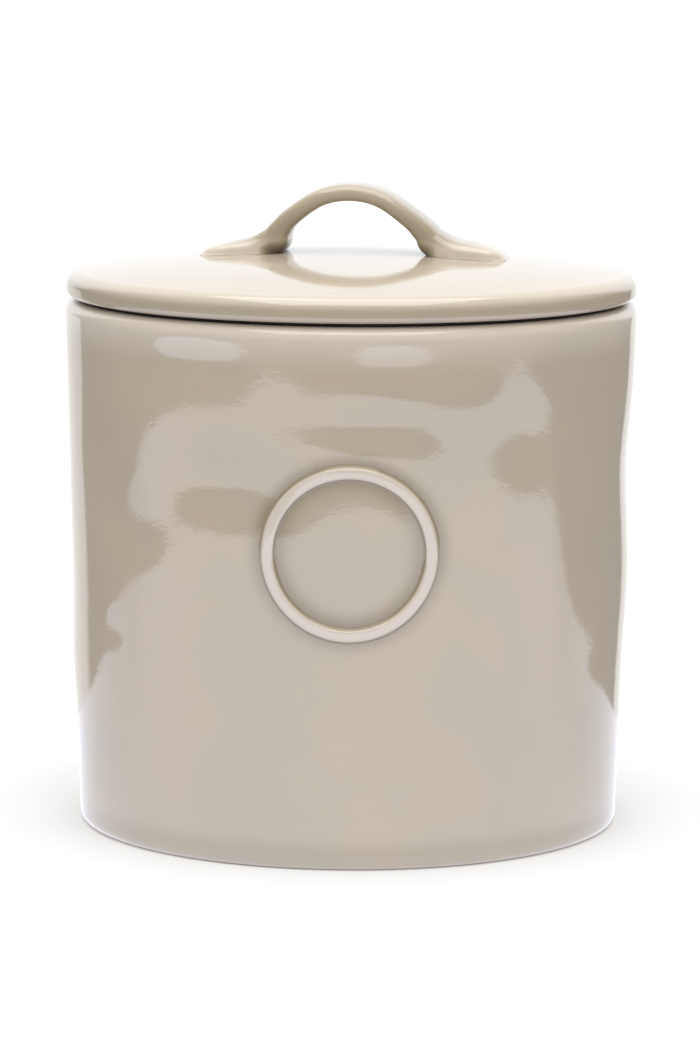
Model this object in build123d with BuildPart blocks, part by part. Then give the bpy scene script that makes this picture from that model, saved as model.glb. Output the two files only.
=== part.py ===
"""Stoneware storage canister: a hand-formed pot with a raised front roundel, a pillowed lid with a
pulled strap handle, and a seal ring between them. Millimetres, +Z up, with the origin at the middle
of the foot and the front towards -Y."""

import os
from math import copysign, cos, exp, radians, sin

from build123d import *

os.makedirs("parts", exist_ok=True)

# Pot: a round pot, a little wider at the rim, with a straight throat for the lid's plug
jar_height = 165.5
rim_radius = 90.0
flare = 5.0
wall = 6.5
floor = 8.0
rim_round = 4.0
mouth_round = 1.2
foot_round = 3.0
cove_round = 14.0
throat_depth = 16.0
foot_ring_width = 9.0
foot_recess = 1.8
recess_round = 1.2

# Dents that hands leave in the wall: depth, width and height of a full one, and the
# stretch below the rim and above the foot over which they fade out
dent_depth = 1.5
dent_width = 21.0
dent_tall = 17.0
dent_fade = 14.0

# Front roundel: a ring of clay with a bare field
roundel_height = 97.2
roundel_radius = 26.8
roundel_width = 4.1
roundel_relief = 1.7
roundel_round = 1.1

# Seal ring: a flange between lid and rim, a collar round the plug, a bead in the plug's
# groove and two fins that wipe the throat
seal_flange = 1.1
seal_inset = 4.2
seal_wall = 1.4
seal_depth = 9.0
bead_depth = 1.1
bead_height = 2.4
fin_height = 1.2
fin_gap = 0.3

# Lid: a disc with a full round edge and a pillowed top, over a hollow plug
lid_inset = 0.4
lid_edge = 7.4
lid_rise = 6.2
lid_wall = 7.0
crown_margin = 2.5
crown_dip = 1.6
lid_top_round = 5.0
lid_under_round = 3.2
plug_gap = 3.0
plug_depth = 12.0
plug_wall = 5.5
plug_round = 1.6
plug_cove = 3.0
hollow_rise = 5.0

# Handle: a strap pulled from clay, arched over the lid and pressed on it at both feet
handle_half = 47.5
handle_rise = 18.9
handle_width = 20.0
handle_thickness = 5.2
handle_turn = -7.0

# How far cuts run past what they cut
overrun = 2.0

# Places that several pieces share
base_radius = rim_radius - flare
mouth_radius = rim_radius - wall
lid_radius = rim_radius - lid_inset
seal_radius = rim_radius - seal_inset
mean_radius = (rim_radius + base_radius) / 2
plug_radius = mouth_radius - plug_gap
lid_under = jar_height + seal_flange
lid_shoulder = lid_under + lid_edge
lid_top = lid_shoulder + lid_rise
crown_reach = handle_half + crown_margin
bead_share = 0.6
bead_middle = lid_under - seal_depth * bead_share
bead_top = bead_middle + bead_height / 2
bead_bottom = bead_middle - bead_height / 2
bead_radius = plug_radius - bead_depth

# The dents all round: turn in degrees from the front towards +X, height as a share of the
# pot's height, and depth, width and tallness as shares of a full dent, the depth negative
# where the wall swells
dent_shares = [
    (-60, 0.74, 0.35, 0.55, 0.70),
    (-52, 0.86, -0.20, 0.50, 0.60),
    (-47, 0.62, 0.60, 0.80, 0.70),
    (-33, 0.94, 0.50, 0.65, 0.45),
    (-26, 0.71, 0.80, 1.20, 0.65),
    (4, 0.82, 0.45, 0.80, 0.40),
    (8, 0.93, 0.32, 0.55, 0.40),
    (23, 0.85, -0.22, 0.60, 0.45),
    (36, 0.80, 0.62, 0.50, 0.80),
    (47, 0.94, 0.25, 0.60, 0.50),
    (58, 0.58, 0.50, 0.55, 1.10),
    (84, 0.70, 0.80, 1.00, 1.00),
    (92, 0.46, -0.55, 1.00, 1.00),
    (112, 0.30, 0.60, 1.00, 1.00),
    (124, 0.78, 0.70, 1.00, 1.00),
    (146, 0.52, 0.80, 1.00, 1.00),
    (168, 0.80, 0.60, 1.00, 1.00),
    (184, 0.34, 0.75, 1.00, 1.00),
    (202, 0.66, 0.85, 1.00, 1.00),
    (226, 0.40, 0.60, 1.00, 1.00),
    (238, 0.82, 0.75, 1.00, 1.00),
    (256, 0.58, -0.50, 1.00, 1.00),
    (268, 0.32, -0.60, 1.00, 1.00),
]
# Steps of the pot's outside: up the wall, round it, and over each rounded edge
wall_steps = 24
wall_points = 48
round_steps = 5


def eased(share):
    """Smooth step from 0 to 1."""
    share = min(max(share, 0), 1)
    return share * share * (3 - 2 * share)


def over_edge(radius):
    """Depths from an end face, and how far the wall draws in there, over its rounded edge."""
    swings = [radians(90 * step / round_steps) for step in range(round_steps)]
    return [(radius * (1 - cos(swing)), radius * (1 - sin(swing))) for swing in swings]


def wall_point(turn, height, drawn_in):
    """Point on the outside of the pot, in the plane of its level: turn 0 is the front."""
    kept = eased(height / dent_fade) * eased((jar_height - height) / dent_fade)
    pressed = 0
    for dent_turn, height_share, depth_share, width_share, tall_share in dent_shares:
        turned = (turn - dent_turn + 180) % 360 - 180
        across = radians(turned) * mean_radius / (dent_width * width_share)
        up = (height - jar_height * height_share) / (dent_tall * tall_share)
        pressed += depth_share * exp(-across * across - up * up)
    flared = base_radius + flare * height / jar_height
    radius = flared - drawn_in - dent_depth * pressed * kept
    return (radius * sin(radians(turn)), -radius * cos(radians(turn)))


# Outside of the pot: lofted through hand-formed rounds, which lie closer near the two edges
side = jar_height - foot_round - rim_round
side_swings = [radians(180 * step / wall_steps) for step in range(wall_steps + 1)]
levels = over_edge(foot_round)
levels += [(foot_round + side * (1 - cos(swing)) / 2, 0) for swing in side_swings]
levels += [(jar_height - depth, drawn_in) for depth, drawn_in in reversed(over_edge(rim_round))]
turns = [360 * step / wall_points for step in range(wall_points)]
with BuildPart() as form:
    for height, drawn_in in levels:
        with BuildSketch(Plane.XY.offset(height)):
            with BuildLine():
                round_points = [wall_point(turn, height, drawn_in) for turn in turns]
                add(Edge.make_spline(round_points, periodic=True, parameters=[*turns, 360]))
            make_face()
    loft()

# Pot: the inside and the recess under the foot are turned out of that form
with BuildPart() as jar:
    add(form.part)
    with BuildSketch(Plane.XZ):
        with BuildLine():
            Polyline(
                (0, floor),
                (base_radius - wall, floor),
                (mouth_radius, jar_height - throat_depth),
                (mouth_radius, jar_height + overrun),
                (0, jar_height + overrun),
                close=True,
            )
        hollow = make_face()
        fillet(hollow.vertices().sort_by_distance((base_radius, 0))[0], cove_round)
    revolve(axis=Axis.Z, mode=Mode.SUBTRACT)
    fillet(jar.faces().sort_by(Axis.Z)[-1].inner_wires()[0].edges(), mouth_round)
    with BuildSketch(Plane.XY):
        Circle(base_radius - foot_round - foot_ring_width)
    extrude(amount=foot_recess, mode=Mode.SUBTRACT)
    fillet(jar.faces().sort_by(Axis.Z)[0].inner_wires()[0].edges(), recess_round)
jar.part.label = "jar"
export_step(jar.part, "parts/jar.step")

# Roundel: a ring cut from a slab that follows the wall, so that its back lies on the pot
with BuildPart() as roundel:
    with BuildSketch(Plane.XZ):
        with Locations((0, roundel_height)):
            Circle(roundel_radius)
            Circle(roundel_radius - roundel_width, mode=Mode.SUBTRACT)
    extrude(amount=rim_radius + roundel_relief + overrun)
    with BuildSketch(Plane.XZ):
        with BuildLine():
            Polyline(
                (0, 0),
                (base_radius + roundel_relief, 0),
                (rim_radius + roundel_relief, jar_height),
                (0, jar_height),
                close=True,
            )
        make_face()
    revolve(axis=Axis.Z, mode=Mode.INTERSECT)
    fillet(roundel.faces().sort_by(Axis.Y)[0].edges(), roundel_round)
    add(form.part, mode=Mode.SUBTRACT)
roundel.part.label = "roundel"
export_step(roundel.part, "parts/roundel.step")

# Lid: one turned profile, from the crown out to the edge and back along the plug
plug_inside = plug_radius - plug_wall
plug_bottom = lid_under - plug_depth
hollow_top = lid_top - lid_wall
with BuildPart() as lid:
    with BuildSketch(Plane.XZ):
        with BuildLine():
            crown = TangentArc((0, lid_top), (crown_reach, lid_top - crown_dip), tangent=(1, 0))
            TangentArc(crown @ 1, (lid_radius, lid_shoulder), tangent=crown % 1)
            Polyline(
                (lid_radius, lid_shoulder),
                (lid_radius, lid_under),
                (plug_radius, lid_under),
                (plug_radius, bead_top),
                (bead_radius, bead_top),
                (bead_radius, bead_bottom),
                (plug_radius, bead_bottom),
                (plug_radius, plug_bottom),
                (plug_inside, plug_bottom),
                (plug_inside, hollow_top - hollow_rise),
            )
            TangentArc((0, hollow_top), (plug_inside, hollow_top - hollow_rise), tangent=(1, 0))
            Line((0, hollow_top), (0, lid_top))
        profile = make_face()
        corners = profile.vertices()
        plug_corners = corners.group_by(Axis.Y)[0]
        fillet(corners.sort_by_distance((lid_radius, lid_shoulder))[0], lid_top_round)
        fillet(corners.sort_by_distance((lid_radius, lid_under))[0], lid_under_round)
        fillet(corners.sort_by_distance((plug_inside, hollow_top - hollow_rise))[0], plug_cove)
        fillet(plug_corners, plug_round)
    revolve(axis=Axis.Z)
lid.part.label = "lid"
export_step(lid.part, "parts/lid.step")

# Seal ring: it shares the plug's groove, the lid's underside and the rim's top
seal_outside = plug_radius + seal_wall
seal_bottom = lid_under - seal_depth
fin_radius = mouth_radius - fin_gap
fin_shares = (0.45, 0.85)
with BuildPart() as lid_seal:
    with BuildSketch(Plane.XZ):
        with BuildLine():
            Polyline(
                (seal_outside, jar_height),
                (seal_radius, jar_height),
                (seal_radius, lid_under),
                (plug_radius, lid_under),
                (plug_radius, bead_top),
                (bead_radius, bead_top),
                (bead_radius, bead_bottom),
                (plug_radius, bead_bottom),
                (plug_radius, seal_bottom),
                (seal_outside, seal_bottom),
                close=True,
            )
        make_face()
        for fin_share in fin_shares:
            fin = lid_under - seal_depth * fin_share
            with BuildLine():
                Polyline(
                    (plug_radius, fin - fin_height / 2),
                    (seal_outside, fin - fin_height / 2),
                    (fin_radius, fin),
                    (fin_radius, fin + fin_height / 2),
                    (plug_radius, fin + fin_height / 2),
                    close=True,
                )
            make_face()
    revolve(axis=Axis.Z)
lid_seal.part.label = "lid_seal"
export_step(lid_seal.part, "parts/lid_seal.step")

# Handle: stations from the tip of one foot to the tip of the other, each with its place along
# the lid, its rise over it, its width and its thickness, as shares of the handle's own sizes
handle_shares = [
    (-0.960, -0.145, 0.70, 0.50),
    (-0.880, -0.034, 1.06, 0.70),
    (-0.775, 0.014, 1.16, 0.96),
    (-0.640, 0.060, 1.14, 1.35),
    (-0.520, 0.190, 1.06, 1.85),
    (-0.465, 0.380, 1.02, 1.27),
    (-0.387, 0.588, 1.00, 1.04),
    (-0.200, 0.900, 1.00, 0.96),
    (0.000, 1.000, 1.00, 0.96),
    (0.200, 0.900, 1.00, 0.96),
    (0.390, 0.590, 1.00, 1.04),
    (0.490, 0.375, 1.02, 1.27),
    (0.560, 0.190, 1.06, 1.62),
    (0.685, 0.068, 1.14, 1.32),
    (0.810, 0.032, 1.18, 1.08),
    (0.915, -0.018, 1.06, 0.82),
    (1.000, -0.148, 0.70, 0.50),
]
# Points round the strap's section, and how full its edges are: 1 is an ellipse, 0 a box
strap_sides = 16
strap_edge_share = 0.4


def strap_round(width, thickness):
    """Points round a flat section with full round edges, in its own plane."""
    swings = [radians(360 * step / strap_sides) for step in range(strap_sides)]
    halves = [copysign(abs(cos(swing)) ** strap_edge_share, cos(swing)) for swing in swings]
    return [(width / 2 * half, thickness / 2 * sin(swing)) for half, swing in zip(halves, swings)]


along_handle = Vector(cos(radians(handle_turn)), sin(radians(handle_turn)))
across_handle = Vector(-sin(radians(handle_turn)), cos(radians(handle_turn)))
strap_points = [
    along_handle * (handle_half * along_share) + Vector(0, 0, lid_top + handle_rise * rise_share)
    for along_share, rise_share, width_share, thickness_share in handle_shares
]
with BuildLine():
    strap = Spline(strap_points)
with BuildPart() as lid_handle:
    for point, (*place_shares, width_share, thickness_share) in zip(strap_points, handle_shares):
        with BuildSketch(Plane(point, x_dir=across_handle, z_dir=strap.tangent_at(point))):
            with BuildLine():
                around = strap_round(handle_width * width_share, handle_thickness * thickness_share)
                add(Edge.make_spline(around, periodic=True, parameters=range(strap_sides + 1)))
            make_face()
    loft()
    add(lid.part, mode=Mode.SUBTRACT)
lid_handle.part.label = "lid_handle"
export_step(lid_handle.part, "parts/lid_handle.step")
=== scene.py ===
from math import atan2, copysign, cos, exp, hypot, pi, radians, sin, sqrt, tan

import bpy
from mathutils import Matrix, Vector


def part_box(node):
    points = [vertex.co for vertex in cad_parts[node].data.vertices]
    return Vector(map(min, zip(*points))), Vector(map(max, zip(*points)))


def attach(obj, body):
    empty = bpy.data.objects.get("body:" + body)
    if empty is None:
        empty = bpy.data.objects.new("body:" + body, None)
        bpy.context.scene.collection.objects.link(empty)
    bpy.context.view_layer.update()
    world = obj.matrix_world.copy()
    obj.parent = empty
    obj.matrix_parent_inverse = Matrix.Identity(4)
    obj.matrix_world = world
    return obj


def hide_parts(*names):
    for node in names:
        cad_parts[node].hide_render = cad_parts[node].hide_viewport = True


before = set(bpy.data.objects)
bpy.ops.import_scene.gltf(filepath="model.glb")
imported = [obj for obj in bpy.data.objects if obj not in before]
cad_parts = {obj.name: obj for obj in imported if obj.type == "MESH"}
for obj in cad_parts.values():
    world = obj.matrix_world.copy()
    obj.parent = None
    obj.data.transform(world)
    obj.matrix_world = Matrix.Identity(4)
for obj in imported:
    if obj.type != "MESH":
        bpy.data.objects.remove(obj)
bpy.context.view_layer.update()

# Pot: a round stoneware pot with a slight flare, pressed here and there by hand while the clay
# was soft, so that its wall is gently uneven. It is dipped in a glossy oatmeal glaze and fired,
# all but the ring that it stands on.
mm = 0.001
jar_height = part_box("jar")[1].z
rim_radius = 90.0 * mm
flare = 5.0 * mm
base_radius = rim_radius - flare
mean_radius = (rim_radius + base_radius) / 2
wall = 6.5 * mm
mouth_radius = rim_radius - wall
pot_floor = 8.0 * mm
rim_round = 4.0 * mm
mouth_round = 1.2 * mm
foot_round = 3.0 * mm
cove_round = 14.0 * mm
throat_depth = 16.0 * mm
foot_ring_width = 9.0 * mm
foot_recess = 1.8 * mm
recess_round = 1.2 * mm
dent_depth = 1.5 * mm
dent_width = 21.0 * mm
dent_tall = 17.0 * mm
dent_fade = 14.0 * mm
roundel_height = 97.2 * mm
roundel_radius = 26.8 * mm
roundel_width = 4.1 * mm
roundel_middle = roundel_radius - roundel_width / 2
roundel_inside = roundel_radius - roundel_width
moat_depth = 0.35 * mm
moat_width = 6.0 * mm
doubles_gap = 0.01 * mm

# Each dent: turn in degrees from the front towards +X, height as a share of the pot's height, and
# depth, width and tallness as shares of a full dent, the depth negative where the wall swells
dent_shares = [
    (-60, 0.74, 0.35, 0.55, 0.70),
    (-52, 0.86, -0.20, 0.50, 0.60),
    (-47, 0.62, 0.60, 0.80, 0.70),
    (-33, 0.94, 0.50, 0.65, 0.45),
    (-26, 0.71, 0.80, 1.20, 0.65),
    (4, 0.82, 0.45, 0.80, 0.40),
    (8, 0.93, 0.32, 0.55, 0.40),
    (23, 0.85, -0.22, 0.60, 0.45),
    (36, 0.80, 0.62, 0.50, 0.80),
    (47, 0.94, 0.25, 0.60, 0.50),
    (58, 0.58, 0.50, 0.55, 1.10),
    (84, 0.70, 0.80, 1.00, 1.00),
    (92, 0.46, -0.55, 1.00, 1.00),
    (112, 0.30, 0.60, 1.00, 1.00),
    (124, 0.78, 0.70, 1.00, 1.00),
    (146, 0.52, 0.80, 1.00, 1.00),
    (168, 0.80, 0.60, 1.00, 1.00),
    (184, 0.34, 0.75, 1.00, 1.00),
    (202, 0.66, 0.85, 1.00, 1.00),
    (226, 0.40, 0.60, 1.00, 1.00),
    (238, 0.82, 0.75, 1.00, 1.00),
    (256, 0.58, -0.50, 1.00, 1.00),
    (268, 0.32, -0.60, 1.00, 1.00),
]
# Small finger marks, given in the same way
mark_shares = [
    (-56, 0.41, 0.22, 0.35, 0.35),
    (-18, 0.37, 0.10, 0.40, 0.30),
    (-15, 0.82, 0.28, 0.40, 0.70),
    (20, 0.38, 0.08, 0.40, 0.30),
    (62, 0.36, 0.22, 0.50, 0.50),
]


def eased(share):
    """Smooth step from 0 to 1."""
    share = min(max(share, 0), 1)
    return share * share * (3 - 2 * share)


def flared(height):
    """Radius of the pot's outside at a height, before it was pressed."""
    return base_radius + flare * height / jar_height


def pressed(turn, height):
    """How far the wall is pressed in at a turn, in radians from the front, and a height."""
    depth = 0
    for dent_turn, height_share, depth_share, width_share, tall_share in dent_shares + mark_shares:
        turned_by = (turn - radians(dent_turn) + pi) % (2 * pi) - pi
        across = turned_by * mean_radius / (dent_width * width_share)
        up = (height - jar_height * height_share) / (dent_tall * tall_share)
        depth += dent_depth * depth_share * exp(-across * across - up * up)
    kept = eased(height / dent_fade) * eased((jar_height - height) / dent_fade)
    from_ring = hypot(turn * mean_radius, height - roundel_height) - roundel_middle
    return depth * kept + moat_depth * exp(-((from_ring / moat_width) ** 2))


def rounded(corners, arc_steps=8):
    """Points along an outline of (across, up, round, pieces): every corner gets its round, and the
    run that leaves it is cut into so many pieces."""
    points = []
    places = [Vector(corner[:2]) for corner in corners]
    for index, here in enumerate(places):
        round_radius = corners[index][2]
        arc = [here]
        if round_radius:
            back = (places[index - 1] - here).normalized()
            onward = (places[index + 1] - here).normalized()
            half = back.angle(onward) / 2
            centre = here + (back + onward).normalized() * round_radius / sin(half)
            first = here + back * round_radius / tan(half) - centre
            last = here + onward * round_radius / tan(half) - centre
            spokes = [first.slerp(last, step / arc_steps) for step in range(arc_steps + 1)]
            arc = [centre + spoke.normalized() * round_radius for spoke in spokes]
        if points:
            start = points[-1]
            cuts = corners[index - 1][3]
            points += [start.lerp(arc[0], cut / cuts) for cut in range(1, cuts)]
        points += arc
    return points


def face_outward():
    """Turn the faces of the active piece outwards, and shade it smooth."""
    bpy.ops.object.mode_set(mode="EDIT")
    bpy.ops.mesh.select_all(action="SELECT")
    bpy.ops.mesh.normals_make_consistent(inside=False)
    bpy.ops.object.mode_set(mode="OBJECT")
    bpy.ops.object.shade_smooth()


def turned(name, outline, steps, axis="Z", centre=(0, 0, 0)):
    """A closed skin made by shaping a loop to an outline of points, which are given from the
    centre, and turning it about an axis through the centre."""
    bpy.ops.object.select_all(action="DESELECT")
    bpy.ops.mesh.primitive_circle_add(vertices=len(outline), location=centre)
    piece = bpy.context.active_object
    piece.name = name
    for vertex, point in zip(piece.data.vertices, outline):
        vertex.co = point
    bpy.ops.object.modifier_add(type="SCREW")
    turning = piece.modifiers["Screw"]
    turning.axis = axis
    turning.steps = turning.render_steps = steps
    turning.use_merge_vertices = True
    bpy.ops.object.modifier_apply(modifier="Screw")
    bpy.ops.object.transform_apply(location=True, rotation=True, scale=True)
    bpy.ops.object.mode_set(mode="EDIT")
    bpy.ops.mesh.select_all(action="SELECT")
    bpy.ops.mesh.remove_doubles(threshold=doubles_gap)
    bpy.ops.mesh.delete_loose()
    bpy.ops.object.mode_set(mode="OBJECT")
    face_outward()
    return piece


def upright(points):
    """An outline of (radius, height) as points above the X axis."""
    return [Vector((radius, 0, height)) for radius, height in points]


recess_radius = base_radius - foot_round - foot_ring_width
pot_columns = 320
wall_rows = 112
pot_outline = rounded(
    [
        (0, foot_recess, 0, 6),
        (recess_radius, foot_recess, recess_round, 1),
        (recess_radius, 0, recess_round / 2, 3),
        (base_radius, 0, foot_round, wall_rows),
        (rim_radius, jar_height, rim_round, 1),
        (mouth_radius, jar_height, mouth_round, 4),
        (mouth_radius, jar_height - throat_depth, throat_depth / 2, 20),
        (base_radius - wall, pot_floor, cove_round, 10),
        (0, pot_floor, 0, 1),
    ]
)
pot = turned("pot", upright(pot_outline), pot_columns)
for vertex in pot.data.vertices:
    radius = hypot(vertex.co.x, vertex.co.y)
    if radius > flared(vertex.co.z) - wall / 2:
        kept = 1 - pressed(atan2(vertex.co.x, -vertex.co.y), vertex.co.z) / radius
        vertex.co.x *= kept
        vertex.co.y *= kept


class Wire:
    """An output in a material's node tree. Sums and products of wires add their own Math nodes."""

    def __init__(self, tree, socket=None):
        self.tree = tree
        self.socket = socket

    def node(self, kind, settings={}, sockets={}, output=0):
        """Add a node, with its settings first and then what its sockets hold or are joined to."""
        node = self.tree.nodes.new(kind)
        for setting, value in settings.items():
            setattr(node, setting, value)
        for socket, value in sockets.items():
            if isinstance(value, Wire):
                self.tree.links.new(value.socket, node.inputs[socket])
            else:
                node.inputs[socket].default_value = value
        return Wire(self.tree, node.outputs[output] if node.outputs else None)

    def maths(self, operation, *values):
        return self.node("ShaderNodeMath", {"operation": operation}, dict(enumerate(values)))

    def hypot(self, other):
        """How far from zero two wires are together."""
        return self.maths("SQRT", self * self + other * other)

    def __add__(self, other):
        return self.maths("ADD", self, other)

    def __sub__(self, other):
        return self.maths("SUBTRACT", self, other)

    def __rsub__(self, other):
        return self.maths("SUBTRACT", other, self)

    def __mul__(self, other):
        return self.maths("MULTIPLY", self, other)

    def __truediv__(self, other):
        return self.maths("DIVIDE", self, other)

    __radd__ = __add__
    __rmul__ = __mul__

    def hill(self):
        """1 where the wire is 0, falling off smoothly both ways."""
        return self.maths("POWER", exp(1), -1 * self * self)

    def step(self, low, high):
        """Smooth step from 0 at low to 1 at high."""
        return self.node(
            "ShaderNodeMapRange",
            {"interpolation_type": "SMOOTHSTEP"},
            {"Value": self, "From Min": low, "From Max": high},
        )

    def mix(self, first, second):
        """The first colour where the wire is 0, and the second where it is 1."""
        return self.node(
            "ShaderNodeMix", {"data_type": "RGBA"}, {"Factor": self, 6: first, 7: second}, output=2
        )


def colour(red, green, blue):
    """A colour as it looks on a screen, in the linear values that shaders take."""
    return (*(((share / 255 + 0.055) / 1.055) ** 2.4 for share in (red, green, blue)), 1)


glaze_colour = colour(173, 162, 142)
glaze_warm = colour(178, 164, 142)
# The pale colour is thin glaze and also serves as painted highlight; the two dark ones are pooled
# glaze and also serve as painted shade
glaze_thin_and_highlit = colour(222, 213, 200)
glaze_pooled_and_shaded = colour(138, 126, 100)
glaze_deep_and_shaded = colour(70, 58, 44)
clay_colour = colour(206, 190, 166)
glaze_gloss = 0.06
speck_gloss = 0.03
clay_gloss = 0.6
glaze_ior = 1.7
peel_fine = 1.1 * mm
peel_coarse = 5.0 * mm
coarse_share = 1.5
wall_grain = 0.016 * mm
smooth_grain = 0.006 * mm
cloud_size = 38 * mm
cloud_shares = (0.35, 0.65)
speck_size = 1.1 * mm
# Heights over a standing edge where the glaze ends and the clay is bare
bare_edges = (0.9 * mm, 0.5 * mm)
front_depth = 40 * mm
# Darker glaze round the ring on the pot's front: pooled glaze and painted shade
ring_pool_shade_gap = 0.4 * mm
ring_pool_shade_width = 2.6 * mm
ring_pool_shade_low_share = 0.3
field_pool_shade_gap = 0.8 * mm
field_pool_shade_width = 3.2 * mm
field_pool_shade_loss_share = 0.75
# Paler glaze over the top of the pot, inside and out: thin glaze and a painted highlight
rim_thin_highlight_depth = 15 * mm
rim_thin_highlight_share = 0.5
# A darker band just above the foot: pooled glaze and painted shade
foot_pool_shade_height = 5 * mm
foot_pool_shade_width = 3.5 * mm
foot_pool_shade_share = 0.35


def start_material(name):
    """A new, empty material, and a wire that adds nodes to it."""
    material = bpy.data.materials.new(name)
    material.use_nodes = True
    material.node_tree.nodes.clear()
    return material, Wire(material.node_tree)


def place_of(wire):
    """A piece's own coordinates: the vector, and x, y and z."""
    place = wire.node("ShaderNodeTexCoord", output=3)
    axes = [wire.node("ShaderNodeSeparateXYZ", {}, {0: place}, output=axis) for axis in range(3)]
    return place, *axes


def noise(wire, place, size, detail=2.0):
    """Cloudy noise from 0 to 1, with features of about that size."""
    return wire.node(
        "ShaderNodeTexNoise", {}, {"Vector": place, "Scale": 1 / size, "Detail": detail}
    )


def finish_glaze(wire, place, grain, pooled_and_shaded=None, deep_and_shaded=None, thin_and_highlit=None, bare=None):
    """The glaze itself: a skin with a grain of that depth, darker where it pooled and where shade is
    painted, paler where it ran thin and where a highlight is painted, and missing on bare clay."""
    cloud = noise(wire, place, cloud_size, detail=3.0).step(*cloud_shares)
    speck = noise(wire, place, speck_size)
    body = cloud.mix(glaze_colour, glaze_warm)
    layers = ((pooled_and_shaded, glaze_pooled_and_shaded), (deep_and_shaded, glaze_deep_and_shaded), (thin_and_highlit, glaze_thin_and_highlit), (bare, clay_colour))
    for share, shade in layers:
        if share:
            body = share.mix(body, shade)
    roughness = glaze_gloss + speck * speck_gloss
    if bare:
        roughness = roughness + bare * clay_gloss
    fine = noise(wire, place, peel_fine, detail=1.0)
    coarse = noise(wire, place, peel_coarse, detail=1.0)
    peel = fine + coarse * coarse_share
    bump = wire.node("ShaderNodeBump", {}, {"Height": peel, "Distance": grain})
    shader = wire.node(
        "ShaderNodeBsdfPrincipled",
        {},
        {"Base Color": body, "Roughness": roughness, "IOR": glaze_ior, "Normal": bump},
    )
    wire.node("ShaderNodeOutputMaterial", {}, {"Surface": shader})


pot_glaze, wire = start_material("pot_glaze")
place, x, y, z = place_of(wire)
above_centre = z - roundel_height
from_centre = x.hypot(above_centre)
in_front = y.step(0, -front_depth)
upper = above_centre.step(-roundel_radius, roundel_radius)
# Painted shade and pooled glaze round the ring: outside it heavier above, inside it heavier below
outside_ring = ((from_centre - roundel_radius - ring_pool_shade_gap) / ring_pool_shade_width).hill()
outside_ring = outside_ring * (ring_pool_shade_low_share + (1 - ring_pool_shade_low_share) * upper)
inside_ring = ((from_centre - roundel_inside + field_pool_shade_gap) / field_pool_shade_width).hill()
inside_ring = inside_ring * (1 - field_pool_shade_loss_share * upper)
ring_pool_and_shade = wire.maths("MAXIMUM", outside_ring, inside_ring) * in_front
# Painted shade and pooled glaze in a band just above the foot
foot_pool_and_shade = ((z - foot_pool_shade_height) / foot_pool_shade_width).hill() * foot_pool_shade_share
finish_glaze(
    wire,
    place,
    wall_grain,
    pooled_and_shaded=wire.maths("MAXIMUM", ring_pool_and_shade, foot_pool_and_shade),
    # Thin glaze and a painted highlight, paler towards the rim
    thin_and_highlit=z.step(jar_height - rim_thin_highlight_depth, jar_height) * rim_thin_highlight_share,
    bare=z.step(*bare_edges),
)
pot.data.materials.append(pot_glaze)
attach(pot, "jar")
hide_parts("jar")

# Roundel: a plain ring of clay, rolled out and luted to the front of the pot before glazing. The
# glaze runs thin on its crest and pools along its edges, where shade is painted as well.
roundel_relief = 1.7 * mm
roundel_round = 1.1 * mm
roundel_fillet = 0.9 * mm
roundel_slope = 0.35 * mm
skirt = 1.8 * mm
skirt_sink = 0.06 * mm
roundel_columns = 224
# Shares of the relief between which the glaze pools and shade is painted, and between which it runs
# thin
foot_shares = (0.5, 0.05)
crest_shares = (0.55, 0.95)
roundel_pool_shade_share = 0.9
roundel_thin_share = 0.5
roundel_outline = rounded(
    [
        (roundel_inside - skirt, -skirt_sink, 0, 2),
        (roundel_inside, 0, roundel_fillet, 1),
        (roundel_inside + roundel_slope, roundel_relief, roundel_round, 2),
        (roundel_radius - roundel_slope, roundel_relief, roundel_round, 1),
        (roundel_radius, 0, roundel_fillet, 2),
        (roundel_radius + skirt, -skirt_sink, 0, 1),
    ]
)
ring_points = [Vector((across, -up, 0)) for across, up in roundel_outline]
roundel = turned("roundel_ring", ring_points, roundel_columns, "Y", (0, 0, roundel_height))
relief = roundel.data.attributes.new("relief", "FLOAT", "POINT")
for vertex in roundel.data.vertices:
    raised = -vertex.co.y
    relief.data[vertex.index].value = raised / roundel_relief
    turn = vertex.co.x / mean_radius
    radius = flared(vertex.co.z) - pressed(turn, vertex.co.z) + raised
    vertex.co.y = -sqrt(radius * radius - vertex.co.x * vertex.co.x)
roundel_glaze, wire = start_material("roundel_glaze")
place = place_of(wire)[0]
relief_share = wire.node("ShaderNodeAttribute", {"attribute_name": "relief"}, output=2)
finish_glaze(
    wire,
    place,
    smooth_grain,
    # Pooled glaze and painted shade along both edges of the ring
    pooled_and_shaded=relief_share.step(*foot_shares) * roundel_pool_shade_share,
    thin_and_highlit=relief_share.step(*crest_shares) * roundel_thin_share,
)
roundel.data.materials.append(roundel_glaze)
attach(roundel, "jar")
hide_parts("roundel")

# Seal ring: black silicone, moulded in one piece. Its flange lies between lid and rim, its collar
# is stretched round the lid's plug, and two fins wipe the throat. Its black also stands as painted
# shade in the gap between lid and rim.
seal_flange = 1.1 * mm
seal_inset = 4.2 * mm
seal_radius = rim_radius - seal_inset
seal_wall = 1.4 * mm
seal_depth = 9.0 * mm
fin_height = 1.2 * mm
fin_gap = 0.3 * mm
fin_shares = (0.45, 0.85)
plug_gap = 3.0 * mm
plug_radius = mouth_radius - plug_gap
lid_under = jar_height + seal_flange
seal_outside = plug_radius + seal_wall
seal_bottom = lid_under - seal_depth
fin_radius = mouth_radius - fin_gap
seal_soft = 0.3 * mm
seal_columns = 256
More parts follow.
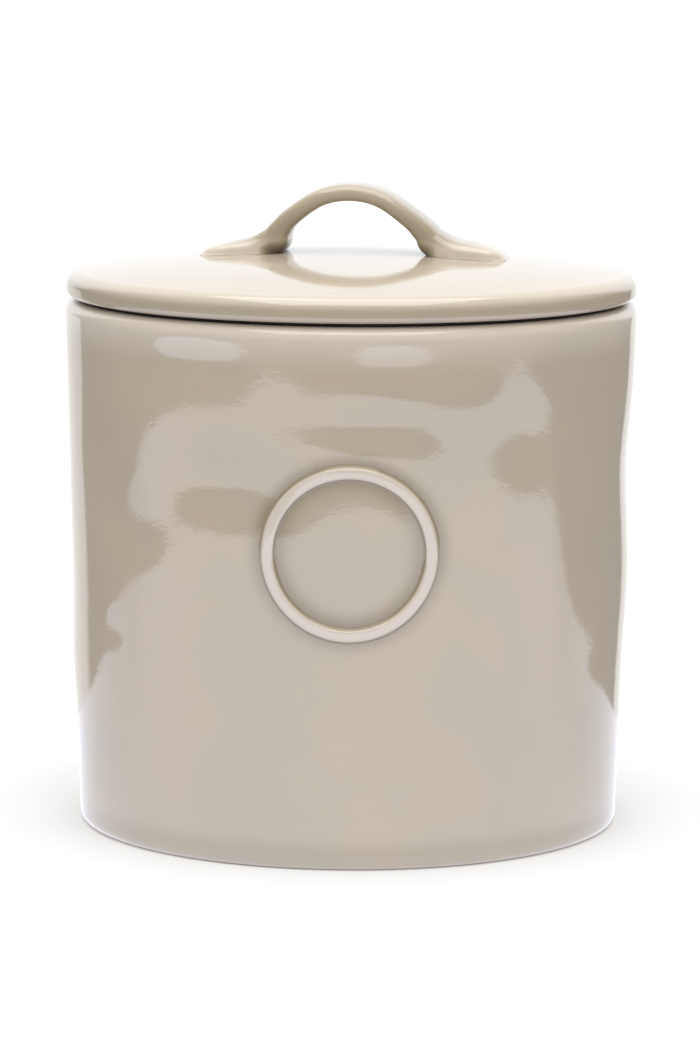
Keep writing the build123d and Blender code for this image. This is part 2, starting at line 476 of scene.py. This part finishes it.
# Near-black: the seal also stands as painted shade in the gap between lid and rim
seal_gap_shade_black = colour(8, 7, 7)
seal_grey = colour(22, 20, 20)
seal_gloss = 0.6
bloom_gloss = 0.2
bloom_size = 9 * mm
rubber_grain_size = 0.4 * mm
rubber_grain = 0.02 * mm
seal_corners = [
    (plug_radius, lid_under, 0, 6),
    (seal_radius, lid_under, seal_soft, 1),
    (seal_radius, jar_height, seal_soft, 4),
    (seal_outside, jar_height, 0, 2),
]
for fin_share in fin_shares:
    fin = lid_under - seal_depth * fin_share
    seal_corners += [
        (seal_outside, fin + fin_height / 2, 0, 1),
        (fin_radius, fin + fin_height / 2, seal_soft, 1),
        (fin_radius, fin, seal_soft, 1),
        (seal_outside, fin - fin_height / 2, 0, 1),
    ]
seal_corners += [(seal_outside, seal_bottom, seal_soft, 1), (plug_radius, seal_bottom, 0, 4)]
seal = turned("seal_ring", upright(rounded(seal_corners, arc_steps=4)), seal_columns)
seal_rubber, wire = start_material("seal_rubber")
place = place_of(wire)[0]
bloom = noise(wire, place, bloom_size, detail=3.0)
rubber = noise(wire, place, rubber_grain_size)
seal_bump = wire.node("ShaderNodeBump", {}, {"Height": rubber, "Distance": rubber_grain})
seal_shader = wire.node(
    "ShaderNodeBsdfPrincipled",
    {},
    {
        "Base Color": bloom.mix(seal_gap_shade_black, seal_grey),
        "Roughness": seal_gloss + bloom * bloom_gloss,
        "Normal": seal_bump,
    },
)
wire.node("ShaderNodeOutputMaterial", {}, {"Surface": seal_shader})
seal.data.materials.append(seal_rubber)
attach(seal, "lid")
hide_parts("lid_seal")

# Lid: a thick disc with a full round edge and a pillowed top, turned over a hollow plug that drops
# into the throat. It is glazed like the pot, with a painted highlight on its top, thin glaze and a
# painted highlight on its upper edge, and a band of painted shade across its edge.
lid_inset = 0.4 * mm
lid_radius = rim_radius - lid_inset
lid_edge = 7.4 * mm
lid_rise = 6.2 * mm
lid_wall = 7.0 * mm
handle_half = 47.5 * mm
crown_margin = 2.5 * mm
crown_reach = handle_half + crown_margin
crown_dip = 1.6 * mm
lid_top_round = 5.0 * mm
lid_under_round = 1.8 * mm
plug_depth = 12.0 * mm
plug_wall = 5.5 * mm
plug_round = 1.6 * mm
hollow_rise = 5.0 * mm
lid_shoulder = lid_under + lid_edge
lid_top = lid_shoulder + lid_rise
plug_inside = plug_radius - plug_wall
plug_bottom = lid_under - plug_depth
hollow_top = lid_top - lid_wall
lid_columns = 288
# Paler upper edge of the lid: thin glaze and a painted highlight
edge_thin_highlight_drops = (3.4 * mm, 1.0 * mm)
edge_thin_highlight_radii = (80 * mm, 87 * mm)
# Paler top of the lid: painted highlight
top_highlight_soft = 1.0 * mm
edge_thin_highlight_share = 0.35
top_highlight_share = 0.2
# A darker band across the lid's edge: painted shade
lid_shade_band_height = 3.0 * mm
lid_shade_band_width = 1.5 * mm
lid_shade_band_share = 0.3


def swung(start, heading, end, steps):
    """Points of the arc that leaves start at a heading, as an angle, and runs to end."""
    chord = Vector(end) - Vector(start)
    lean = atan2(chord.y, chord.x) - heading
    points = []
    for step in range(1, steps + 1):
        share = step / steps
        reach = chord.length * sin(lean * share) / sin(lean)
        bearing = heading + lean * share
        points.append((start[0] + reach * cos(bearing), start[1] + reach * sin(bearing)))
    return points


crown_end = (crown_reach, lid_top - crown_dip)
crown_lean = 2 * atan2(-crown_dip, crown_reach)
lid_corners = [(0, lid_top, 0, 1)]
lid_corners += [(*point, 0, 1) for point in swung((0, lid_top), 0, crown_end, steps=10)]
shoulder_arc = swung(crown_end, crown_lean, (lid_radius, lid_shoulder), steps=8)
lid_corners += [(*point, 0, 1) for point in shoulder_arc[:-1]]
lid_corners += [
    (lid_radius, lid_shoulder, lid_top_round, 1),
    (lid_radius, lid_under, lid_under_round, 3),
    (plug_radius, lid_under, 0, 3),
    (plug_radius, plug_bottom, plug_round, 1),
    (plug_inside, plug_bottom, plug_round, 3),
    (plug_inside, hollow_top - hollow_rise, 0, 1),
]
hollow_arc = swung((0, hollow_top), 0, (plug_inside, hollow_top - hollow_rise), steps=8)
lid_corners += [(*point, 0, 1) for point in reversed(hollow_arc[:-1])]
lid_corners += [(0, hollow_top, 0, 1)]
lid = turned("lid_disc", upright(rounded(lid_corners, arc_steps=10)), lid_columns)
lid_glaze, wire = start_material("lid_glaze")
place, x, y, z = place_of(wire)
below_edge = lid_shoulder - z
# Thin glaze and a painted highlight on the lid's upper edge
edge_thin_and_highlight = below_edge.step(*edge_thin_highlight_drops) * x.hypot(y).step(*edge_thin_highlight_radii)
# Painted highlight over the lid's top
top_highlight = below_edge.step(top_highlight_soft, -top_highlight_soft)
bottom_bare = (z - plug_bottom).step(*bare_edges)
finish_glaze(
    wire,
    place,
    smooth_grain,
    # Painted shade: a darker band across the lid's edge, above its underside
    pooled_and_shaded=((z - lid_under - lid_shade_band_height) / lid_shade_band_width).hill() * lid_shade_band_share,
    thin_and_highlit=wire.maths("MAXIMUM", edge_thin_and_highlight * edge_thin_highlight_share, top_highlight * top_highlight_share),
    bare=bottom_bare,
)
lid.data.materials.append(lid_glaze)
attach(lid, "lid")
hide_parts("lid")

# Handle: a strap pulled from soft clay, arched over the lid and pressed on with the thumbs, so that
# each foot spreads into a tongue. Glaze pools dark brown in the two inner corners, where shade is
# painted too; the legs get painted shade towards the lid, and the tongues a painted highlight.
handle_rise = 18.9 * mm
handle_width = 20.0 * mm
handle_thickness = 5.8 * mm
handle_turn = radians(-7)
# From the tip of one foot to the tip of the other: place along the lid, rise, width and thickness
handle_shares = [
    (-0.960, -0.145, 0.70, 0.50),
    (-0.915, -0.042, 1.04, 0.72),
    (-0.775, 0.014, 1.16, 0.96),
    (-0.640, 0.060, 1.14, 1.35),
    (-0.520, 0.190, 1.06, 1.85),
    (-0.465, 0.380, 1.02, 1.27),
    (-0.387, 0.588, 1.00, 1.04),
    (-0.200, 0.900, 1.00, 0.96),
    (0.000, 1.000, 1.00, 0.96),
    (0.200, 0.900, 1.00, 0.96),
    (0.390, 0.590, 1.00, 1.04),
    (0.490, 0.375, 1.02, 1.27),
    (0.560, 0.190, 1.06, 1.62),
    (0.685, 0.068, 1.14, 1.32),
    (0.810, 0.032, 1.18, 1.08),
    (0.955, -0.030, 1.05, 0.82),
    (1.000, -0.148, 0.70, 0.50),
]
strap_sides = 32
strap_cuts = 144
strap_edge_share = 0.33
bed_sink = 0.3 * mm
foot_fillet = 1.3 * mm
# How much rounder the tips are than a straight run, and how much of a leg's extra thickness its upper
# side has
tip_round_share = 0.9
top_share = 0.45
probe_share = 0.004
# Where the fillet starts to run round a tip, over what stretch, how far, and how close it keeps to the
# strap's sides
tip_start_share = 0.80
tip_run_share = 0.16
tip_spread_share = 0.5
side_power = 5
# The inner corner of each foot, where glaze pools and shade is painted: its ends along the strap, how
# softly they end, its height over the lid, and its depth under the strap
corner_out_share = 0.62
corner_out_run_share = 0.1
corner_in_share = 0.40
corner_in_run_share = 0.08
corner_height = 7 * mm
corner_depth = 3 * mm
# Heights over the lid between which a leg gets painted shade, and a tongue a painted highlight
leg_shade_top = 24 * mm
leg_shade_full = 6 * mm
leg_shade_foot = 1 * mm
leg_shade_share = 0.6
tongue_highlight_heights = (5 * mm, 1.5 * mm)
tongue_highlight_share = 0.45
pooled_shade_shares = (0.0, 0.6)
deep_shade_shares = (0.3, 1.0)
clear_shares = (0.0, 0.3)


def crown_height(radius):
    """Height of the lid's top at a distance from its middle."""
    dome = (crown_reach * crown_reach + crown_dip * crown_dip) / (2 * crown_dip)
    return lid_top - dome + sqrt(dome * dome - radius * radius)


def between(place):
    """Along, rise, width and thickness shares at a place from 0 to 1 along the whole strap, on a
    smooth curve through the stations that drops in a round at both tips."""
    last = len(handle_shares) - 1
    index = min(int(place * last), last - 1)
    share = place * last - index
    dropped = share
    if index == 0:
        dropped = share + tip_round_share * (1 - share) ** 2 * sqrt(share)
    elif index == last - 1:
        dropped = share - tip_round_share * share**2 * sqrt(1 - share)
    picked = [handle_shares[min(max(index + step, 0), last)] for step in (-1, 0, 1, 2)]
    values = []
    for before, here, there, after in zip(*picked):
        bend = 2 * before - 5 * here + 4 * there - after
        twist = 3 * here - before - 3 * there + after
        values.append(here + share * (there - before + share * (bend + share * twist)) / 2)
        share = dropped
    return values


bpy.ops.object.select_all(action="DESELECT")
bpy.ops.mesh.primitive_cylinder_add(
    vertices=strap_sides, radius=1, depth=1, rotation=(0, pi / 2, 0), end_fill_type="NGON"
)
handle = bpy.context.active_object
handle.name = "strap_handle"
bpy.ops.object.transform_apply(location=True, rotation=True, scale=True)
bpy.ops.object.mode_set(mode="EDIT")
for cut in range(1, strap_cuts):
    bpy.ops.mesh.select_all(action="SELECT")
    bpy.ops.mesh.bisect(plane_co=(cut / strap_cuts - 0.5, 0, 0), plane_no=(1, 0, 0))
bpy.ops.object.mode_set(mode="OBJECT")
corner_pool_and_shade = handle.data.attributes.new("corner_pool_and_shade", "FLOAT", "POINT")
along_handle = Vector((cos(handle_turn), sin(handle_turn), 0))
across_handle = Vector((-sin(handle_turn), cos(handle_turn), 0))
for vertex in handle.data.vertices:
    place_share = min(max(vertex.co.x + 0.5, 0), 1)
    along, rise, width_share, thickness_share = between(place_share)
    ahead, higher = between(min(place_share + probe_share, 1))[:2]
    behind, lower = between(max(place_share - probe_share, 0))[:2]
    heading = atan2((higher - lower) * handle_rise, (ahead - behind) * handle_half)
    swing = atan2(vertex.co.z, vertex.co.y)
    side = copysign(abs(cos(swing)) ** strap_edge_share, cos(swing))
    across = side * handle_width * width_share / 2
    if swing > 0 and thickness_share > 1:
        thickness_share = 1 + (thickness_share - 1) * top_share
    up = sin(swing) * handle_thickness * thickness_share / 2
    point = along_handle * (along * handle_half - up * sin(heading)) + across_handle * across
    point.z = lid_top + rise * handle_rise + up * cos(heading)
    clear = point.z - crown_height(hypot(point.x, point.y))
    if clear < foot_fillet:
        tip = eased((abs(along) - tip_start_share) / tip_run_share) * tip_spread_share
        outward = across_handle * side**side_power + along_handle * copysign(tip, along)
        spread = foot_fillet - sqrt(foot_fillet**2 - (foot_fillet - max(clear, 0)) ** 2)
        point += outward / max(outward.length, 1) * spread
    bed = crown_height(hypot(point.x, point.y)) - bed_sink
    # Painted shade and pooled glaze: the strap's underside low in each inner corner
    inner = eased((corner_out_share - abs(along)) / corner_out_run_share)
    inner *= eased((abs(along) - corner_in_share) / corner_in_run_share)
    low = eased(1 - (point.z - bed) / corner_height)
    corner_pool_and_shade.data[vertex.index].value = inner * low * eased(0.5 - up / corner_depth)
    point.z = max(point.z, bed)
    vertex.co = point
handle.data.update()
face_outward()
handle_glaze, wire = start_material("handle_glaze")
place, x, y, z = place_of(wire)
above_lid = z - lid_top
corner_pool_and_shade_value = wire.node("ShaderNodeAttribute", {"attribute_name": "corner_pool_and_shade"}, output=2)
# Painted shade: the legs darker towards the lid
leg_shade = above_lid.step(leg_shade_top, leg_shade_full) * above_lid.step(leg_shade_foot, leg_shade_full)
# Painted highlight: the tongues paler near the lid
tongue_highlight = above_lid.step(*tongue_highlight_heights) * (1 - corner_pool_and_shade_value.step(*clear_shares))
finish_glaze(
    wire,
    place,
    smooth_grain,
    pooled_and_shaded=wire.maths("MAXIMUM", corner_pool_and_shade_value.step(*pooled_shade_shares), leg_shade * leg_shade_share),
    deep_and_shaded=corner_pool_and_shade_value.step(*deep_shade_shares),
    thin_and_highlit=tongue_highlight * tongue_highlight_share,
)
handle.data.materials.append(handle_glaze)
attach(handle, "lid")
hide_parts("lid_handle")

# Studio: a white table that is lit brightly in front of the pot, soft lamps overhead, behind and in
# front, and a room that is white behind and dim elsewhere.
lit_half_width = 800 * mm
lit_half_depth = 460 * mm
lit_forward = 300 * mm
# The shaded floor under the pot, and how softly it ends
lit_gap = 83.5 * mm
lit_soft = 0.8 * mm
# Brightness of the lit table in mirrors, at the front and at the back, and to other rays
lit_gloss = 1.9
lit_shade = 1.45
lit_fill = 0.9
shine_back = 30 * mm
shine_front = -90 * mm
table_sides = 160
table_share = 30
table_grey = (0.68, 0.68, 0.68, 1)
table_lift = 0.15
fade_radii = (220 * mm, 600 * mm)
# The rest of the table: dim, and white in a wedge behind the pot, with how steep each side of it is
table_dim = 0.35
table_white = 1.2
wedge_left = 1.15
wedge_right = 2.0
wedge_half = 95 * mm
wedge_middle = 1 * mm
wedge_soft = 20 * mm
room_fill = 0.95
room_dim = 0.2
room_white = 1.15
backdrop_lean = radians(40)
backdrop_shares = (0.60, 0.70)
white = (1, 1, 1, 1)
lit_cast = (0.95, 0.98, 1.12, 1)
backdrop_cast = (0.97, 1, 1.05, 1)
table_middle = (0, -lit_forward, 0)
bpy.ops.object.select_all(action="DESELECT")
bpy.ops.mesh.primitive_circle_add(
    vertices=table_sides, radius=1, fill_type="NGON", location=table_middle
)
table = bpy.context.active_object
table.name = "table"
table.scale = (lit_half_width, lit_half_depth, 1)
bpy.ops.object.transform_apply(location=True, rotation=True, scale=True)
bpy.ops.object.mode_set(mode="EDIT")
bpy.ops.mesh.select_all(action="SELECT")
bpy.ops.mesh.extrude_edges_move()
bpy.ops.transform.resize(value=(table_share, table_share, 1), center_override=table_middle)
bpy.ops.object.mode_set(mode="OBJECT")


def paint_table(name, lit):
    """White paint: to the camera a plain lit surface, and to other rays as bright as a studio table
    is there: brightest where it is lit, white behind the pot and dim elsewhere."""
    paint, wire = start_material(name)
    seen = wire.node("ShaderNodeLightPath")
    glossy = wire.node("ShaderNodeLightPath", output=3)
    place, x, y, z = place_of(wire)
    from_axis = x.hypot(y)
    if lit:
        near = from_axis.step(lit_gap - lit_soft, lit_gap + lit_soft)
        shine = lit_shade + (lit_gloss - lit_shade) * y.step(shine_back, shine_front)
        glow = near * (glossy * shine + (1 - glossy) * lit_fill)
    else:
        steep = wedge_left + (wedge_right - wedge_left) * x.step(-wedge_middle, wedge_middle)
        behind = (y - steep * (wire.maths("ABSOLUTE", x) - wedge_half)).step(-wedge_soft, wedge_soft)
        glow = table_dim + (table_white - table_dim) * behind
    cast = lit_cast if lit else white
    bright = wire.node("ShaderNodeEmission", {}, {"Color": cast, "Strength": glow})
    diffuse = wire.node("ShaderNodeBsdfDiffuse", {}, {"Color": table_grey})
    lifted = table_lift + (1 - table_lift) * from_axis.step(*fade_radii)
    lift = wire.node("ShaderNodeEmission", {}, {"Color": white, "Strength": lifted})
    plain = wire.node("ShaderNodeAddShader", {}, {0: diffuse, 1: lift})
    surface = wire.node("ShaderNodeMixShader", {}, {0: seen, 1: bright, 2: plain})
    wire.node("ShaderNodeOutputMaterial", {}, {"Surface": surface})
    return paint


table.data.materials.append(paint_table("table_paint", False))
table.data.materials.append(paint_table("lit_table_paint", True))
# The lit middle is the one face with more than four corners
for face in table.data.polygons:
    face.material_index = int(len(face.vertices) > 4)


def lamp(name, place, aim, width, depth, level, glossy):
    """A soft lamp that faces a point, with the brightness that its face has."""
    bpy.ops.object.light_add(type="AREA", location=place)
    soft = bpy.context.active_object
    soft.name = name
    soft.data.shape = "RECTANGLE"
    soft.data.size = width
    soft.data.size_y = depth
    soft.data.energy = level * pi * width * depth
    soft.rotation_euler = (Vector(aim) - Vector(place)).to_track_quat("-Z", "Y").to_euler()
    soft.visible_camera = False
    soft.visible_glossy = glossy


overhead_place = (0, -0.35, 1.35)
overhead_aim = (0, -0.35, 0)
back_place = (0, 1.1, 0.75)
back_aim = (0, 0, 0.18)
front_place = (0, -1.7, 0.8)
front_aim = (0, 0, 0.1)
lamp("overhead_lamp", overhead_place, overhead_aim, width=1.3, depth=1.3, level=2.3, glossy=True)
lamp("back_lamp", back_place, back_aim, width=1.6, depth=0.7, level=1.0, glossy=False)
lamp("front_lamp", front_place, front_aim, width=1.8, depth=1.0, level=0.8, glossy=False)

world = bpy.data.worlds.new("room")
bpy.context.scene.world = world
world.use_nodes = True
world.node_tree.nodes.clear()
wire = Wire(world.node_tree)
seen = wire.node("ShaderNodeLightPath")
glossy = wire.node("ShaderNodeLightPath", output=3)
facing = wire.node("ShaderNodeTexCoord", output=0)
away, upward = [wire.node("ShaderNodeSeparateXYZ", {}, {0: facing}, output=axis) for axis in (1, 2)]
backdrop = away * cos(backdrop_lean) + upward * sin(backdrop_lean)
mirrored = room_dim + (room_white - room_dim) * backdrop.step(*backdrop_shares)
tint = glossy.mix(white, backdrop_cast)
strength = seen + (1 - seen) * (room_fill + glossy * (mirrored - room_fill))
wire.node(
    "ShaderNodeOutputWorld",
    {},
    {"Surface": wire.node("ShaderNodeBackground", {}, {"Color": tint, "Strength": strength})},
)
bpy.context.scene.view_settings.view_transform = "Standard"

# Camera: a long lens, a little above the lid and looking slightly down, with a trace of roll.
camera_data = bpy.data.cameras.new("camera")
camera = bpy.data.objects.new("camera", camera_data)
bpy.context.scene.collection.objects.link(camera)
camera_pitch = radians(8.428)
camera_roll = radians(0.4)
camera_lens = 167.5
camera_sensor = 36
camera_place = (0.1 * mm, -1530 * mm, 320 * mm)
camera_data.lens = camera_lens
camera_data.sensor_width = camera_sensor
camera.location = camera_place
camera.rotation_euler = (pi / 2 - camera_pitch, 0, 0)
camera.rotation_euler.rotate_axis("Z", camera_roll)
bpy.context.scene.camera = camera
